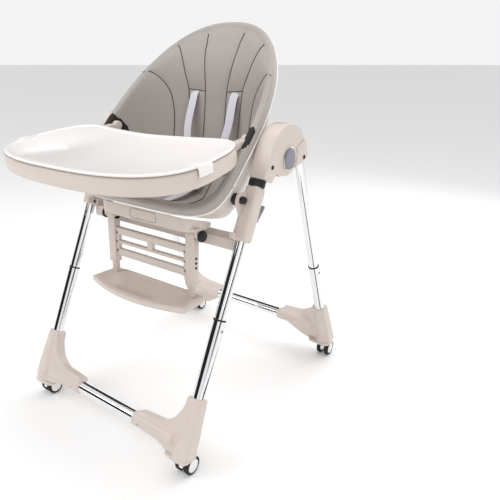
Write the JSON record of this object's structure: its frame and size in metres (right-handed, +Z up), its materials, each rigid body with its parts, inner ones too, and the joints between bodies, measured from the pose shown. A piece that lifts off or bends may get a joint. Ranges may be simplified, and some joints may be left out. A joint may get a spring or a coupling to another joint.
{
  "type": "baby high chair",
  "caption": "Folding baby high chair: bright tube legs on casters, egg-shaped padded bucket seat with harness, flip-up tray with lift-out insert, swinging footrest.",
  "frame": {"origin": "on the floor, under the middle of the whole chair with the tray fitted", "axes": "+Z up, +X to the child's left hand (the side with the nearer hinge in the picture), the child faces -Y"},
  "size_m": [0.62, 0.8933, 1.0467],
  "materials": {
    "cream_plastic": "satin cream moulding",
    "white_plastic": "near-white gloss moulding",
    "grey_plastic": "mid grey satin",
    "black_plastic": "black",
    "bright_tube": "mirror-bright tube",
    "pad_leather": "warm grey leatherette",
    "strap_webbing": "pale woven webbing",
    "hood_plastic": "white gloss",
    "caster_tyre": "black rubber"
  },
  "bodies": {
    "front_frame": {"front_leg_lower_left": "bright_tube", "front_leg_lower_right": "bright_tube", "front_leg_upper_left": "bright_tube", "front_leg_upper_right": "bright_tube", "front_crossbar": "bright_tube", "front_foot_left": "cream_plastic", "front_foot_right": "cream_plastic", "hinge_front_left": "cream_plastic", "hinge_front_right": "cream_plastic", "leg_collar_left": "black_plastic", "leg_collar_right": "black_plastic"},
    "rear_frame": {"rear_leg_lower_left": "bright_tube", "rear_leg_lower_right": "bright_tube", "rear_leg_upper_left": "bright_tube", "rear_leg_upper_right": "bright_tube", "rear_crossbar": "bright_tube", "rear_foot_left": "cream_plastic", "rear_foot_right": "cream_plastic", "hinge_rear_left": "cream_plastic", "hinge_rear_right": "cream_plastic"},
    "seat_carriage": {"sleeve_left": "cream_plastic", "sleeve_right": "cream_plastic", "seat_crossbeam": "cream_plastic", "seat_base": "cream_plastic"},
    "bucket": {"seat_shell": "cream_plastic", "storage_hook": "cream_plastic", "seat_pad": "pad_leather", "seat_bracket_left": "black_plastic", "seat_bracket_right": "black_plastic", "shoulder_strap_left": "strap_webbing", "shoulder_strap_right": "strap_webbing", "crotch_strap": "strap_webbing", "harness_buckle": "white_plastic"},
    "recline_handle": {"recline_handle": "grey_plastic"},
    "tray_arms": {"tray_arm_left": "cream_plastic", "tray_arm_right": "cream_plastic"},
    "tray": {"tray_base": "cream_plastic", "crotch_post": "cream_plastic"},
    "tray_insert": {"tray_insert": "white_plastic"},
    "footrest": {"footrest_frame": "cream_plastic"},
    "footrest_plate": {"footrest_plate": "cream_plastic"},
    "fold_button_left": {"fold_button_left": "grey_plastic"},
    "height_lever_left": {"height_lever_left": "grey_plastic"},
    "tray_latch_left": {"tray_latch_left": "white_plastic"},
    "tray_button_left": {"tray_button_left": "black_plastic"},
    "footrest_knob_left": {"footrest_knob_left": "black_plastic"},
    "caster_front_left": {"caster_hood_front_left": "hood_plastic"},
    "caster_wheels_front_left": {"caster_wheels_front_left": "caster_tyre"},
    "caster_rear_left": {"caster_hood_rear_left": "hood_plastic"},
    "caster_wheels_rear_left": {"caster_wheels_rear_left": "caster_tyre"},
    "fold_button_right": {"fold_button_right": "grey_plastic"},
    "height_lever_right": {"height_lever_right": "grey_plastic"},
    "tray_latch_right": {"tray_latch_right": "white_plastic"},
    "tray_button_right": {"tray_button_right": "black_plastic"},
    "footrest_knob_right": {"footrest_knob_right": "black_plastic"},
    "caster_front_right": {"caster_hood_front_right": "hood_plastic"},
    "caster_wheels_front_right": {"caster_wheels_front_right": "caster_tyre"},
    "caster_rear_right": {"caster_hood_rear_right": "hood_plastic"},
    "caster_wheels_rear_right": {"caster_wheels_rear_right": "caster_tyre"}
  },
  "joints": [
    {"name": "rear_fold", "type": "hinge", "parent": "front_frame", "child": "rear_frame", "pos_m": [0, 0.037, 0.73], "axis": [1, 0, 0], "range_deg": [-46, 0]},
    {"name": "seat_height", "type": "slide", "parent": "front_frame", "child": "seat_carriage", "axis": [0, 0.4115, 0.9114], "range_m": [-0.18, 0]},
    {"name": "recline", "type": "hinge", "parent": "seat_carriage", "child": "bucket", "pos_m": [0, -0.107, 0.65], "axis": [1, 0, 0], "range_deg": [-16, 0]},
    {"name": "recline_handle_lift", "type": "hinge", "parent": "bucket", "child": "recline_handle", "pos_m": [0, 0.17896, 0.95896], "axis": [1, 0, 0], "range_deg": [0, 12], "stiffness_Nm_per_rad": 1},
    {"name": "tray_flip", "type": "hinge", "parent": "bucket", "child": "tray_arms", "pos_m": [0, -0.03615, 0.77603], "axis": [1, 0, 0], "range_deg": [-70, 0]},
    {"name": "tray_slide", "type": "slide", "parent": "tray_arms", "child": "tray", "axis": [0, 0.993, 0.1184], "range_m": [-0.03, 0.012]},
    {"name": "insert_lift", "type": "slide", "parent": "tray", "child": "tray_insert", "axis": [0, -0.1184, 0.993], "range_m": [0, 0.1]},
    {"name": "footrest_swing", "type": "hinge", "parent": "seat_carriage", "child": "footrest", "pos_m": [0, -0.14, 0.55], "axis": [1, 0, 0], "range_deg": [-60, 0]},
    {"name": "footrest_height", "type": "slide", "parent": "footrest", "child": "footrest_plate", "axis": [0, 0, 1], "range_m": [0, 0.03]},
    {"name": "fold_button_left_press", "type": "slide", "parent": "front_frame", "child": "fold_button_left", "axis": [1, 0, 0], "range_m": [0, 0.004], "stiffness_N_per_m": 800},
    {"name": "height_lever_left_pull", "type": "hinge", "parent": "seat_carriage", "child": "height_lever_left", "pos_m": [-0.271, -0.06817, 0.59622], "axis": [1, 0, 0], "range_deg": [-12, 0], "stiffness_Nm_per_rad": 0.4},
    {"name": "tray_latch_left_open", "type": "hinge", "parent": "tray", "child": "tray_latch_left", "pos_m": [-0.3, -0.28946, 0.73404], "axis": [0, -0.993, -0.1184], "range_deg": [0, 40]},
    {"name": "tray_button_left_press", "type": "slide", "parent": "tray", "child": "tray_button_left", "axis": [0, -0.1184, 0.993], "range_m": [0, 0.004], "stiffness_N_per_m": 300},
    {"name": "footrest_knob_left_press", "type": "slide", "parent": "seat_carriage", "child": "footrest_knob_left", "axis": [1, 0, 0], "range_m": [0, 0.003], "stiffness_N_per_m": 500},
    {"name": "caster_front_left_swivel", "type": "hinge", "parent": "front_frame", "child": "caster_front_left", "pos_m": [-0.27, -0.335, 0.05], "axis": [0, 0, 1], "continuous": true},
    {"name": "caster_front_left_roll", "type": "hinge", "parent": "caster_front_left", "child": "caster_wheels_front_left", "pos_m": [-0.27, -0.317, 0.025], "axis": [1, 0, 0], "continuous": true},
    {"name": "caster_rear_left_swivel", "type": "hinge", "parent": "rear_frame", "child": "caster_rear_left", "pos_m": [-0.28, 0.405, 0.05], "axis": [0, 0, 1], "continuous": true},
    {"name": "caster_rear_left_roll", "type": "hinge", "parent": "caster_rear_left", "child": "caster_wheels_rear_left", "pos_m": [-0.28, 0.423, 0.025], "axis": [1, 0, 0], "continuous": true},
    {"name": "fold_button_right_press", "type": "slide", "parent": "front_frame", "child": "fold_button_right", "axis": [-1, 0, 0], "range_m": [0, 0.004], "stiffness_N_per_m": 800},
    {"name": "height_lever_right_pull", "type": "hinge", "parent": "seat_carriage", "child": "height_lever_right", "pos_m": [0.271, -0.06817, 0.59622], "axis": [1, 0, 0], "range_deg": [-12, 0], "stiffness_Nm_per_rad": 0.4},
    {"name": "tray_latch_right_open", "type": "hinge", "parent": "tray", "child": "tray_latch_right", "pos_m": [0.3, -0.28946, 0.73404], "axis": [0, 0.993, 0.1184], "range_deg": [0, 40]},
    {"name": "tray_button_right_press", "type": "slide", "parent": "tray", "child": "tray_button_right", "axis": [0, -0.1184, 0.993], "range_m": [0, 0.004], "stiffness_N_per_m": 300},
    {"name": "footrest_knob_right_press", "type": "slide", "parent": "seat_carriage", "child": "footrest_knob_right", "axis": [-1, 0, 0], "range_m": [0, 0.003], "stiffness_N_per_m": 500},
    {"name": "caster_front_right_swivel", "type": "hinge", "parent": "front_frame", "child": "caster_front_right", "pos_m": [0.27, -0.335, 0.05], "axis": [0, 0, 1], "continuous": true},
    {"name": "caster_front_right_roll", "type": "hinge", "parent": "caster_front_right", "child": "caster_wheels_front_right", "pos_m": [0.27, -0.317, 0.025], "axis": [1, 0, 0], "continuous": true},
    {"name": "caster_rear_right_swivel", "type": "hinge", "parent": "rear_frame", "child": "caster_rear_right", "pos_m": [0.28, 0.405, 0.05], "axis": [0, 0, 1], "continuous": true},
    {"name": "caster_rear_right_roll", "type": "hinge", "parent": "caster_rear_right", "child": "caster_wheels_rear_right", "pos_m": [0.28, 0.423, 0.025], "axis": [1, 0, 0], "continuous": true}
  ]
}
